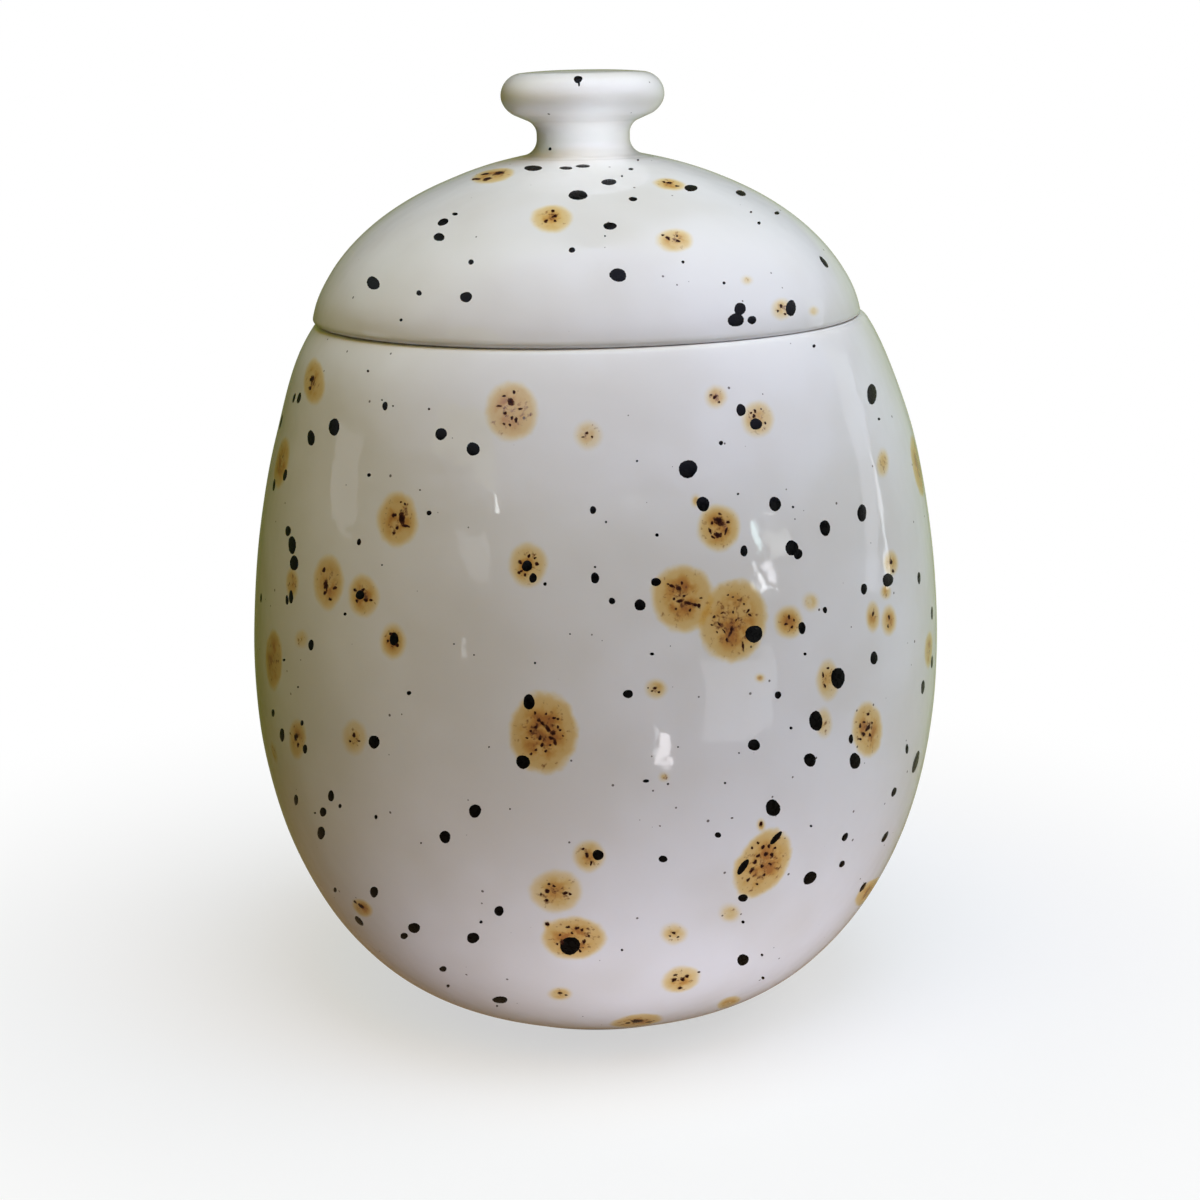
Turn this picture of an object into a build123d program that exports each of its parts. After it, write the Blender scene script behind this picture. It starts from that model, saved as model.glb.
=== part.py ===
from build123d import *
import math
import os

# Biscuit jar: an egg-shaped stoneware jar, a domed lid that drops into its mouth, and a mushroom
# knob luted onto the lid. Millimetres, +Z up, origin on the table in the middle of the foot ring.
# Every piece is turned on a wheel, so each one is an outline of (radius, height) points spun
# round its own axis. The rim was trimmed a little off level, and the lid sits off-centre on it.

# Jar, outside
belly_radius = 90.0        # widest place of the egg
belly_height = 92.6
mouth_radius = 62.0
rim_width = 8.6            # of the rim's flat top, before its edges are rounded
rim_height = 180.0         # the rim's flat top, on the jar's axis
rim_slope = 46.2           # degrees that the shoulder leans in where it meets the rim
foot_radius = 40.0
foot_lift = 1.5            # height of the foot ring's outer wall
foot_slope = 10.8          # degrees that the underside rises as it leaves the foot
foot_reach = 25.0          # how far the underside holds that slope
belly_drop = 54.0          # how far the belly holds upright on its way down
belly_rise = 30.5          # the same on its way up
shoulder_reach = 15.5      # how far the shoulder holds the rim's slope

# Jar, inside
wall = 5.0
floor_thickness = 5.0
foot_ring_width = 7.0
foot_recess = 2.5
floor_radius = 30.0        # flat part of the inside floor
inside_floor_reach = 32.0
inside_belly_drop = 50.0
inside_belly_rise = 30.0
inside_neck_slope = 36.0   # degrees that the wall leans in below the lip
inside_neck_reach = 26.0
lip_depth = 6.0            # upright band of the mouth
lip_round = 6.0
rim_outer_round = 3.0
rim_inner_round = 2.0
foot_edge_round = 0.8

# How the lid sits on the jar
rim_lean = 1.0             # degrees that the rim's plane rises towards +X
flange_clearance = 3.0     # radial play of the lid's flange in the mouth
side_gap = 0.7             # what is left of that play on the -X side, where the lid has slid
cutting_allowance = 4.0    # how far the rim runs up before it is trimmed off along its plane

# Lid, measured up from the rim's plane
lid_cover = 7.8            # how far the lid's edge reaches out past the mouth
lid_edge_round = 3.0
lid_edge_slope = 20.0      # degrees that the dome leans in just above the edge
lid_edge_reach = 12.0
crown_height = 40.0        # flat top that the knob is luted to
crown_radius = 17.4
crown_slope = 12.0         # degrees that the dome falls away from the crown
crown_reach = 32.7
crown_thickness = 4.5
flange_depth = 9.0
flange_thickness = 4.5
flange_tip_round = 1.5
flange_root_round = 1.0
inside_dome_rise = 17.0
inside_dome_reach = 41.0

# Knob
neck_radius = 11.75
neck_foot_round = 4.0
neck_head_round = 3.5
knob_radius = 20.6
knob_height = 21.6         # from the crown to the middle of the knob's top
knob_underside_height = 8.2
knob_underside_rise = 3.2  # how much higher the cap's edge is than its underside at the neck
knob_crown = 1.4           # how much the cap's top is domed
knob_lower_round = 3.0
knob_upper_round = 4.0


def at(radius, height):
    """A point of an outline, on the side of the axis towards +X."""
    return Vector(radius, 0, height)


def step(length, degrees):
    """A move of that length, at that angle above level and outwards."""
    return Vector(length * math.cos(math.radians(degrees)), 0, length * math.sin(math.radians(degrees)))


def corner(first, first_degrees, second, second_degrees):
    """Where a line through one point at one angle meets a line through another at another."""
    a = step(1, first_degrees)
    b = step(1, second_degrees)
    gap = second - first
    along = (gap.X * b.Z - gap.Z * b.X) / (a.X * b.Z - a.Z * b.X)
    return first + a * along


def spun(*lines):
    """The solid that a closed outline sweeps round the axis."""
    edges = [edge for line in lines for edge in line.edges()]
    return revolve(make_face(edges), Axis.Z)


def rounded(solid, point, radius):
    """The solid with the ring-shaped edge that passes through a point of the outline rounded."""
    rings = solid.edges().filter_by(GeomType.CIRCLE)
    ring = rings.sort_by(lambda edge: edge.distance_to(point))[0]
    return fillet(ring, radius)


def seat_plane():
    """The plane of the rim's flat top, which leans up towards +X."""
    lean = math.radians(rim_lean)
    return Plane(
        origin=(0, 0, rim_height),
        x_dir=(math.cos(lean), 0, math.sin(lean)),
        z_dir=(-math.sin(lean), 0, math.cos(lean)),
    )


def make_jar():
    foot = at(foot_radius, foot_lift)
    belly = at(belly_radius, belly_height)
    rim = at(mouth_radius + rim_width, rim_height)
    shoulder_angle = 90 + rim_slope
    rim_top = rim + step(cutting_allowance / math.cos(math.radians(rim_slope)), shoulder_angle)
    lower_side = Bezier(
        foot, foot + step(foot_reach, foot_slope), belly - at(0, belly_drop), belly
    )
    upper_side = Bezier(
        belly, belly + at(0, belly_rise), rim - step(shoulder_reach, shoulder_angle), rim_top
    )

    floor_height = foot_recess + floor_thickness
    floor_edge = at(floor_radius, floor_height)
    inside_belly = at(belly_radius - wall, belly_height)
    lip_bottom = at(mouth_radius, rim_height - lip_depth)
    mouth_top = at(mouth_radius, rim_height + cutting_allowance)
    inside_lower = Bezier(
        floor_edge,
        floor_edge + at(inside_floor_reach, 0),
        inside_belly - at(0, inside_belly_drop),
        inside_belly,
    )
    inside_upper = Bezier(
        inside_belly,
        inside_belly + at(0, inside_belly_rise),
        lip_bottom - step(inside_neck_reach, 90 + inside_neck_slope),
        lip_bottom,
    )

    foot_outside = at(foot_radius, 0)
    foot_inside = at(foot_radius - foot_ring_width, 0)
    recess_corner = at(foot_radius - foot_ring_width, foot_recess)
    blank = spun(
        Polyline(at(0, floor_height), at(0, foot_recess), recess_corner, foot_inside, foot_outside, foot),
        lower_side,
        upper_side,
        Line(rim_top, mouth_top),
        Line(mouth_top, lip_bottom),
        inside_upper,
        inside_lower,
        Line(floor_edge, at(0, floor_height)),
    )
    blank = rounded(blank, lip_bottom, lip_round)
    blank = rounded(blank, foot_outside, foot_edge_round)
    blank = rounded(blank, foot_inside, foot_edge_round)
    jar = split(blank, bisect_by=seat_plane(), keep=Keep.BOTTOM)

    def rim_face(solid):
        return solid.faces().filter_by(GeomType.PLANE).sort_by(Axis.Z)[-1]

    jar = fillet(rim_face(jar).outer_wire().edges(), rim_outer_round)
    return fillet(rim_face(jar).inner_wires()[0].edges(), rim_inner_round)


def make_lid():
    flange_radius = mouth_radius - flange_clearance
    flange_inside = flange_radius - flange_thickness
    edge_middle = at(mouth_radius + lid_cover - lid_edge_round, lid_edge_round)
    edge_bottom = edge_middle + step(lid_edge_round, -90)
    edge_top = edge_middle + step(lid_edge_round, lid_edge_slope)
    edge = ThreePointArc(
        edge_bottom, edge_middle + step(lid_edge_round, lid_edge_slope / 2 - 45), edge_top
    )
    crown_edge = at(crown_radius, crown_height)
    inside_crown = at(0, crown_height - crown_thickness)
    dome = Bezier(
        edge_top,
        edge_top + step(lid_edge_reach, 90 + lid_edge_slope),
        crown_edge + step(crown_reach, -crown_slope),
        crown_edge,
    )
    inside_dome = Bezier(
        at(flange_inside, 0),
        at(flange_inside, inside_dome_rise),
        inside_crown + at(inside_dome_reach, 0),
        inside_crown,
    )
    flange = FilletPolyline(
        at(flange_inside, 0),
        at(flange_inside, -flange_depth),
        at(flange_radius, -flange_depth),
        at(flange_radius, 0),
        edge_bottom,
        radius=[flange_tip_round, flange_tip_round, flange_root_round],
    )
    return spun(flange, edge, dome, Polyline(crown_edge, at(0, crown_height), inside_crown), inside_dome)


def make_knob():
    base = at(crown_radius, crown_height)
    underside = at(neck_radius, crown_height + knob_underside_height)
    neck_foot = corner(base, 180 - crown_slope, underside, 90)
    cap_edge = at(knob_radius, underside.Z + knob_underside_rise)
    top = at(0, crown_height + knob_height)
    cap_shoulder = at(knob_radius, top.Z - knob_crown)
    outline = FilletPolyline(
        base,
        neck_foot,
        underside,
        cap_edge,
        cap_shoulder,
        radius=[neck_foot_round, neck_head_round, knob_lower_round],
    )
    cap_top = TangentArc(top, cap_shoulder, tangent=(1, 0, 0))
    knob = spun(outline, cap_top, Polyline(top, at(0, crown_height), base))
    return rounded(knob, cap_shoulder, knob_upper_round)


on_the_rim = seat_plane().location * Pos(side_gap - flange_clearance, 0, 0)
nodes = {
    "jar_body": make_jar(),
    "lid": on_the_rim * make_lid(),
    "knob": on_the_rim * make_knob(),
}

os.makedirs("parts", exist_ok=True)
for name, solid in nodes.items():
    solid.label = name
    export_step(solid, f"parts/{name}.step")
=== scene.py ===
import math
import random

import bpy
import numpy as np
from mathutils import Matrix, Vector


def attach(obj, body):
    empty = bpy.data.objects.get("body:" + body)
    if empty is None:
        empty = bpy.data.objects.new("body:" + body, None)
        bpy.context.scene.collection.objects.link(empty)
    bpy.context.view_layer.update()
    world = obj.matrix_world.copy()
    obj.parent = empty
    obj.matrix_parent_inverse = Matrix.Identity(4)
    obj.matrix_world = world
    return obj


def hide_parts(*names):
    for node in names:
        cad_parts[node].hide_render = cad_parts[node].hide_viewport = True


# Biscuit jar: an egg-shaped jar, a domed lid and a mushroom knob, thrown in stoneware, dipped in
# white glaze and spattered with iron glaze before the glaze firing.
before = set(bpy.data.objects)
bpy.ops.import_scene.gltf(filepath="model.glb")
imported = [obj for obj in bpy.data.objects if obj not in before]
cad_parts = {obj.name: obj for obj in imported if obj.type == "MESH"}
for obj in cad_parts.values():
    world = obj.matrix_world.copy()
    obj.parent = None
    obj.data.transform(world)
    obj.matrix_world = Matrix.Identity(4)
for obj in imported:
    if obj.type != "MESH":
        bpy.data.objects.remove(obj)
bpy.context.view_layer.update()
mm = 0.001

# Camera: it stands a little above the lid, close enough for the pot to taper towards its foot, and
# looks slightly down. The spatter further on is placed by where this view shows it, in an image of
# 1200 by 1200 pixels.
picture_size = 1200
picture_focus = 2350.5
camera_place = Vector((1.16, -604.03, 247.75)) * mm
camera_dip = math.radians(13.326)


def alone(*pieces):
    """Selects these pieces and nothing else."""
    bpy.ops.object.select_all(action="DESELECT")
    for piece in pieces:
        piece.select_set(True)
    if pieces:
        bpy.context.view_layer.objects.active = pieces[0]


alone()
bpy.ops.object.camera_add(location=camera_place, rotation=(math.radians(90) - camera_dip, 0, 0))
camera = bpy.context.object
camera.name = "camera"
camera.data.sensor_width = 36
camera.data.lens = camera.data.sensor_width * picture_focus / picture_size
camera.data.clip_start = 0.01
bpy.context.scene.camera = camera


# Jar: one thrown stoneware wall, 5 mm at the belly and thicker at the rim, on a turned foot ring.
# Its outline is drawn once as joined curves and spun round, as the wheel does. The finished
# surface lies a hair inside the size of the clay, so that the glaze drops on it fit too.
def part(start, places):
    """The control places of one part of an outline, which goes on from the last part's end.

    One place more is a line's end. Two are a corner to round off and the end, and three are a
    curve's two handles and its end.
    """
    hold = 0.57
    if len(places) == 3:
        return [start, *places]
    start, corner, end = Vector(start), Vector(places[0]), Vector(places[-1])
    if len(places) == 2:
        return [start, start.lerp(corner, hold), end.lerp(corner, hold), end]
    return [start, start.lerp(end, 1 / 3), start.lerp(end, 2 / 3), end]


def turned(name, start, outline, steps):
    """Spins an outline round the Z axis. Its parts are given as rows and (radius, height) in mm."""
    weld = 0.005 * mm
    alone()
    bpy.ops.curve.primitive_bezier_curve_add(location=(0, 0, 0))
    pot = bpy.context.object
    pot.data.splines.clear()
    for rows, *places in outline:
        spline = pot.data.splines.new("BEZIER")
        spline.bezier_points.add(1)
        spline.resolution_u = rows
        points = [(place[0] * mm, 0, place[1] * mm) for place in part(start, places)]
        first, last = spline.bezier_points
        first.co, first.handle_left, first.handle_right = points[0], points[0], points[1]
        last.co, last.handle_left, last.handle_right = points[3], points[2], points[3]
        start = places[-1]
    bpy.ops.object.convert(target="MESH")
    pot = bpy.context.object
    pot.name = pot.data.name = name
    bpy.ops.object.mode_set(mode="EDIT")
    bpy.ops.mesh.select_all(action="SELECT")
    bpy.ops.mesh.remove_doubles(threshold=weld)
    bpy.ops.mesh.spin(steps=steps, angle=math.tau, center=(0, 0, 0), axis=(0, 0, 1))
    bpy.ops.mesh.select_all(action="SELECT")
    bpy.ops.mesh.remove_doubles(threshold=weld)
    bpy.ops.mesh.normals_make_consistent(inside=False)
    bpy.ops.object.mode_set(mode="OBJECT")
    bpy.ops.object.shade_smooth_by_angle(angle=math.radians(40))
    return pot


def places_of(pot):
    """The places of a pot's vertices in mm, and their distance from the Z axis."""
    place = np.empty(len(pot.data.vertices) * 3)
    pot.data.vertices.foreach_get("co", place)
    place = place.reshape(-1, 3) / mm
    return place, np.hypot(place[:, 0], place[:, 1])


def facing_of(pot):
    """The outward directions of a pot's vertices."""
    facing = np.empty(len(pot.data.vertices) * 3)
    pot.data.vertices.foreach_get("normal", facing)
    return facing.reshape(-1, 3)


def eased(value, low, high):
    """0 below low, 1 above high, and a smooth rise between them."""
    share = np.clip((value - low) / (high - low), 0, 1)
    return share * share * (3 - 2 * share)


def mark(pot, name, amount):
    """Keeps one number for each vertex of a pot, for its material."""
    layer = pot.data.attributes.new(name, "FLOAT", "POINT")
    layer.data.foreach_set("value", np.asarray(amount, dtype=np.float32))


def pressed(pot, amount, depth, wave):
    """Presses a thrown wall in by up to a depth, unevenly, as hands do, where amount is above 0."""
    levels = 25
    group = pot.vertex_groups.new(name="pressed")
    steps = np.round(amount * levels)
    for level in range(1, levels + 1):
        group.add(np.nonzero(steps == level)[0].tolist(), level / levels, "REPLACE")
    waves = bpy.data.textures.new(pot.name + "_waves", "CLOUDS")
    waves.noise_scale = wave
    waves.noise_depth = 1
    press = pot.modifiers.new("press", "DISPLACE")
    press.texture = waves
    press.texture_coords = "LOCAL"
    press.strength = depth
    press.mid_level = 1
    press.vertex_group = "pressed"
    alone(pot)
    bpy.ops.object.modifier_apply(modifier="press")
    pot.vertex_groups.clear()


foot, foot_inside, recess = 40, 33, 2.5
belly, belly_height, belly_inside = 89.8, 92.6, 85
mouth, rim, floor = 62, 180, 7.5
jar = turned(
    "jar",
    (0, recess),
    [
        (6, (32, recess)),
        (3, (foot_inside, recess), (foot_inside, 1.5)),
        (2, (foot_inside, 0.8)),
        (4, (foot_inside, 0), (33.8, 0)),
        (3, (39.1, 0)),
        (4, (foot, 0), (foot, 0.9)),
        (1, (foot, 1.5)),
        (70, (64.5, 6.2), (belly, 38.6), (belly, belly_height)),
        (58, (belly, 120), (83.2, 160.2), (70.8, 178.7)),
        (6, (69.9, rim), (68.4, rim)),
        (3, (64, rim)),
        (5, (mouth, rim), (mouth, 178)),
        (2, (mouth, 175.8)),
        (4, (mouth, 174), (63.1, 172.4)),
        (26, (76.4, 154), (belly_inside, 124), (belly_inside, belly_height)),
        (26, (belly_inside, 42.6), (62, floor), (30, floor)),
        (5, (0, floor)),
    ],
    360,
)
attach(jar, "jar")
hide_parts("jar_body")

# The foot ring and the top of the rim were wiped bare before the firing. The wall is pressed a
# little uneven. The rim was trimmed a degree off level: it rises towards +X, where its outer edge
# comes in with the slope of the shoulder.
rim_lean = math.radians(1)
shoulder_slope = math.radians(46.2)
rim_width = 8.6
place, radius = places_of(jar)
facing = facing_of(jar)
outward = (facing[:, 0] * place[:, 0] + facing[:, 1] * place[:, 1]) / np.maximum(radius, 1)
on_foot = place[:, 2] < 0.05
on_rim = (place[:, 2] > rim - 0.1) & (radius > mouth + 2.5) & (radius < mouth + 6)
mark(jar, "bare_clay", on_foot | on_rim)
outer_wall = (outward > 0.1) * eased(place[:, 2], 3, 20) * (1 - eased(place[:, 2], 160, 176))
depth, wave = 0.4 * mm, 34 * mm
pressed(jar, outer_wall, depth, wave)
place, radius = places_of(jar)
lift = math.tan(rim_lean) * place[:, 0] * eased(place[:, 2], 150, 176)
draw = lift * math.tan(shoulder_slope) * np.clip((radius - mouth) / rim_width, 0, 1)
draw = np.where(outward > -0.1, draw, 0) / np.maximum(radius, 1)
place[:, 0] -= draw * place[:, 0]
place[:, 1] -= draw * place[:, 1]
place[:, 2] += lift
jar.data.vertices.foreach_set("co", (place * mm).ravel())
jar.data.update()

# Lid: a thrown dome, about 4.5 mm thick, with a turned flange that drops into the mouth. It rests
# on the rim, so it leans with it, and it has slid to one side of the play in the mouth.
lid_slide = 2.3
seat = Vector((-lid_slide * math.cos(rim_lean), 0, rim - lid_slide * math.sin(rim_lean))) * mm


def seated(pot):
    """Sets a pot made upright at the origin onto the jar's rim."""
    alone(pot)
    pot.location = seat
    pot.rotation_euler = (0, -rim_lean, 0)
    bpy.ops.object.transform_apply(location=True, rotation=True, scale=False)


flange, flange_inside, flange_tip = 59, 54.5, -9
crown, crown_height = 17.4, 40
lid = turned(
    "lid",
    (0, 35.5),
    [
        (24, (41, 35.5), (flange_inside, 17), (flange_inside, 0)),
        (5, (flange_inside, -7.5)),
        (4, (flange_inside, flange_tip), (56, flange_tip)),
        (1, (57.5, flange_tip)),
        (4, (flange, flange_tip), (flange, -7.5)),
        (5, (flange, -1)),
        (4, (flange, 0), (60, 0)),
        (5, (68.5, 0)),
        (7, (70.02, 0), (69.75, 1.3)),
        (68, (66.6, 16.2), (49.38, 33.2), (crown, crown_height)),
        (3, (0, crown_height)),
    ],
    320,
)
place, radius = places_of(lid)
mark(lid, "bare_clay", (abs(place[:, 2]) < 0.01) & (radius > 61) & (radius < 66))
dome = eased(place[:, 2], 4, 12) * (1 - eased(place[:, 2], 34, 39)) * (facing_of(lid)[:, 2] > 0.1)
depth, wave = 0.3 * mm, 30 * mm
pressed(lid, dome, depth, wave)
seated(lid)
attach(lid, "lid")
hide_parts("lid")

# Knob: thrown apart as a mushroom and luted onto the lid's crown with slip, which the glaze covers.
neck, cap, knob_top = 11.75, 20.6, 61.4
knob = turned(
    "knob",
    (0, crown_height),
    [
        (3, (crown, crown_height)),
        (4, (14.9, 40.53)),
        (14, (neck, 41.2), (neck, 44.45)),
        (3, (neck, 45.75)),
        (10, (neck, 48.2), (14.05, 49.03)),
        (5, (17, 50.3)),
        (14, (cap, 51.8), (cap, 55.2)),
        (16, (cap, 60), (15.8, 60.75)),
        (14, (11, 61.3), (5.5, knob_top), (0, knob_top)),
    ],
    200,
)
mark(knob, "bare_clay", np.zeros(len(knob.data.vertices)))
seated(knob)
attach(knob, "lid")
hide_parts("knob")


# Tan blotches: where a thick drop of iron glaze sank into the white, it bled out to a round tan
# stain with dark flecks. Each is listed as (x, y, width, height, darkness, flecks) in the view,
# and is kept on the pots' vertices as a place across the blotch, for the glaze to read.
view_turn = camera.matrix_world.to_3x3()
view_right, view_up, view_back = view_turn.col[0], view_turn.col[1], view_turn.col[2]


def landing(pots, x, y):
    """Where the view through a pixel meets one of the pots: the pot, the place and its facing."""
    half = picture_size / 2
    aim = (view_right * (x - half) - view_up * (y - half)) / picture_focus - view_back
    met = []
    for pot in pots:
        hit, place, facing, _ = pot.ray_cast(camera_place, aim.normalized())
        if hit:
            met.append((pot, place, facing))
    if met:
        return min(met, key=lambda meeting: (meeting[1] - camera_place).length)
    beside = camera_place + aim * (-camera_place.y / aim.y)
    _, place, facing, _ = pots[0].closest_point_on_mesh(beside)
    return pots[0], place, facing


def level_axes(facing):
    """Two directions along a surface that faces that way: one level, and one up its slope."""
    across = Vector((0, 0, 1)).cross(facing).normalized()
    return across, facing.cross(across)


def spread(place, facing, x, y, width, height, tilt=0):
    """The half axes, along the surface, of a spot that the view shows with this size and tilt."""
    edge_on = 0.3, 0.25
    across, along = level_axes(facing)
    half = picture_size / 2
    seen_right = view_right + view_back * (x - half) / picture_focus
    seen_up = view_up - view_back * (y - half) / picture_focus
    scale = (camera_place - place).dot(view_back) / picture_focus
    shares = [across.dot(seen_right), along.dot(seen_right), across.dot(seen_up), along.dot(seen_up)]
    if abs(shares[0]) < edge_on[0] or abs(shares[3]) < edge_on[1]:
        size = max(width, height) * scale / 2
        return across * size, along * size
    turn = shares[0] * shares[3] - shares[1] * shares[2]
    axes = []
    for length, angle in ((width / 2, tilt), (height / 2, tilt + 90)):
        right = length * math.cos(math.radians(angle)) * scale
        up = length * math.sin(math.radians(angle)) * scale
        axes.append(
            across * ((shares[3] * right - shares[1] * up) / turn)
            + along * ((shares[0] * up - shares[2] * right) / turn)
        )
    return axes


blotches = [
    (313, 381, 20, 45, 0.8, 0.5), (281, 463, 14, 50, 0.9, 0.5), (511, 411, 50, 56, 0.9, 0.55),
    (588, 435, 26, 28, 0.45, 0.5), (397, 520, 39, 53, 0.9, 0.6), (528, 565, 36, 42, 0.75, 0.6),
    (292, 583, 12, 30, 0.7, 0.5), (328, 583, 29, 52, 0.85, 0.4), (363, 596, 29, 40, 0.8, 0.5),
    (393, 642, 24, 34, 0.75, 0.6), (301, 639, 12, 18, 0.4, 0.4), (273, 660, 16, 58, 1, 0.5),
    (297, 739, 16, 38, 0.8, 0.5), (274, 752, 5, 20, 0.5, 0.3), (354, 737, 24, 34, 0.45, 0.5),
    (543, 733, 67, 80, 1, 0.75), (589, 856, 30, 30, 0.75, 0.5), (556, 892, 50, 41, 0.65, 0.6),
    (573, 939, 61, 42, 1, 0.8), (547, 925, 8, 9, 0.4, 0.3), (362, 908, 22, 14, 0.9, 0.6, -40),
    (560, 994, 22, 12, 0.7, 0.6), (716, 397, 20, 22, 0.6, 0.8), (758, 419, 32, 34, 0.65, 0.6),
    (696, 501, 9, 12, 0.5, 0.5), (719, 528, 40, 43, 1, 0.9), (883, 463, 12, 28, 0.5, 0.3),
    (918, 466, 10, 60, 1, 0.4), (683, 598, 60, 65, 0.95, 0.75), (734, 621, 64, 82, 0.95, 0.75, -10),
    (789, 622, 27, 31, 0.8, 0.5), (811, 602, 16, 18, 0.35, 0.2), (891, 563, 14, 24, 0.6, 0.4),
    (886, 592, 10, 14, 0.6, 0.3), (873, 617, 13, 28, 0.7, 0.3), (889, 620, 14, 28, 0.7, 0.4),
    (929, 650, 6, 35, 0.8, 0.4), (828, 680, 22, 40, 0.55, 0.3), (656, 689, 20, 18, 0.6, 0.7),
    (760, 678, 9, 8, 0.6, 0.5), (824, 723, 16, 30, 0.4, 0.3), (868, 730, 30, 53, 0.85, 0.7),
    (664, 777, 9, 8, 0.5, 0.4), (761, 825, 8, 12, 0.6, 0.6), (763, 864, 46, 74, 1, 0.95, -35),
    (730, 913, 22, 18, 0.3, 0.3), (674, 934, 25, 20, 0.5, 0.6), (681, 980, 38, 25, 0.7, 0.7, 15),
    (868, 892, 10, 35, 0.9, 0.3, -38), (729, 1003, 25, 9, 0.7, 0.6, 20), (637, 1022, 50, 12, 0.9, 0.7),
    (551, 218, 40, 26, 0.75, 0.7), (675, 240, 34, 22, 0.7, 0.6), (492, 175, 42, 13, 0.8, 0.9, 10),
    (670, 184, 30, 11, 0.8, 0.6, -8), (782, 309, 20, 20, 0.45, 0.7), (747, 280, 11, 9, 0.3, 0.2),
    (814, 311, 10, 10, 0.3, 0.2),
]
stains = []
for x, y, width, height, darkness, flecks, *tilt in blotches:
    pot, place, facing = landing([jar, lid], x, y)
    long, wide = spread(place, facing, x, y, width, height, *tilt)
    stains.append((pot, place, facing, long, wide, darkness, flecks))

# Sides that this view doesn't show have the same spatter, scattered by chance.
chance = random.Random(7)


def scattered(pot, count, biggest):
    """Chance places on the part of a pot that the view doesn't show, each with a size in mm."""
    smallest, mostly_small, apart = 0.9, 2.2, 1.1
    spots = []
    while len(spots) < count:
        size = smallest + biggest * chance.random() ** mostly_small
        turn = math.radians(chance.uniform(2, 178))
        outwards = Vector((math.cos(turn), math.sin(turn), 0))
        if pot is jar:
            start = outwards * 0.2 + Vector((0, 0, chance.uniform(5, 172))) * mm
            aim = -outwards
        else:
            reach = 67 * math.sqrt(chance.uniform(0.1, 1))
            start = outwards * reach * mm + Vector((0, 0, 0.4))
            aim = Vector((0, 0, -1))
        hit, place, facing, _ = pot.ray_cast(start, aim)
        if not hit or facing.dot((camera_place - place).normalized()) > -0.05:
            continue
        if any((place - other[0]).length < (size + other[2]) * mm * apart for other in spots):
            continue
        spots.append((place, facing, size))
    return spots


def uneven_axes(facing, size):
    """The half axes of a chance spot of that size in mm, a little longer one way."""
    across, along = level_axes(facing)
    shape = chance.uniform(0.85, 1.2)
    return across * size * shape * mm, along * size / shape * mm


for pot, count in ((jar, 60), (lid, 9)):
    for place, facing, size in scattered(pot, count, 8):
        long, wide = uneven_axes(facing, size)
        darkness = min(1, 0.45 + size * 0.09 + chance.uniform(-0.15, 0.15))
        stains.append((pot, place, facing, long, wide, darkness, chance.uniform(0.4, 0.9)))

# Blotches that touch each other go into different layers of the glaze.
layers = ("a", "b", "c")
for pot in (jar, lid, knob):
    place, _ = places_of(pot)
    facing = facing_of(pot)
    kept = {layer: np.zeros((len(place), 3)) for layer in layers}
    nature = {layer: np.zeros((len(place), 3)) for layer in layers}
    taken = {layer: [] for layer in layers}
    for home, centre, outward, long, wide, darkness, flecks in stains:
        if home is not pot:
            continue
        size = max(long.length, wide.length) / mm
        reach = max(size * 1.4, size + 3)
        free = [
            layer
            for layer in layers
            if all((centre - other).length / mm > reach + room + 2 for other, room in taken[layer])
        ]
        taken[free[0]].append((centre, reach))
        gap = place - np.array(centre) / mm
        normal = long.cross(wide).normalized()
        u = gap @ np.array(wide.cross(normal)) * mm / long.dot(wide.cross(normal))
        v = gap @ np.array(long.cross(normal)) * mm / wide.dot(long.cross(normal))
        near = (np.linalg.norm(gap, axis=1) < reach) & (facing @ np.array(outward) > 0.3)
        kept[free[0]][near] = np.column_stack((u, v, np.ones(len(u))))[near]
        nature[free[0]][near] = (darkness, flecks, size / 10)
    for layer in layers:
        for name, values in (("place_", kept), ("nature_", nature)):
            data = pot.data.attributes.new(name + layer, "FLOAT_VECTOR", "POINT").data
            data.foreach_set("vector", values[layer].astype(np.float32).ravel())


# Glaze: white, glossy and slightly uneven, over pale stoneware. The blotches, the smallest iron
# specks and the wiped clay are all part of this one coat.
def node(tree, kind, inputs=(), **settings):
    """Adds a shader node. Each of its inputs is given a plain value or another node's output."""
    new = tree.nodes.new("ShaderNode" + kind)
    row, column = divmod(len(tree.nodes), 12)
    new.location = (column * 200, row * -350)
    for name, value in settings.items():
        setattr(new, name, value)
    for name, value in dict(inputs).items():
        if isinstance(value, bpy.types.NodeSocket):
            tree.links.new(value, new.inputs[name])
        else:
            new.inputs[name].default_value = value
    return new


def sums(tree, operation, *values):
    """The result of one sum on plain values or other nodes' outputs."""
    return node(tree, "Math", dict(enumerate(values)), operation=operation).outputs[0]


def ramped(tree, value, low, high, to_low=0.0, to_high=1.0):
    """A smooth change from one number to another as a value goes from low to high."""
    inputs = {"Value": value, "From Min": low, "From Max": high, "To Min": to_low, "To Max": to_high}
    return node(tree, "MapRange", inputs, interpolation_type="SMOOTHSTEP").outputs[0]


def layered(tree, amount, under, over, blend="MIX"):
    """One colour laid over another."""
    inputs = {0: amount, 6: under, 7: over}
    return node(tree, "Mix", inputs, data_type="RGBA", blend_type=blend).outputs[2]


def graded(tree, value, stops):
    """A colour that changes with a value, through a list of (value, colour) stops."""
    new = node(tree, "ValToRGB", {"Fac": value})
    while len(new.color_ramp.elements) < len(stops):
        new.color_ramp.elements.new(0.5)
    for stop, (position, colour) in zip(new.color_ramp.elements, stops):
        stop.position, stop.color = position, colour
    return new.outputs[0]


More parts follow.
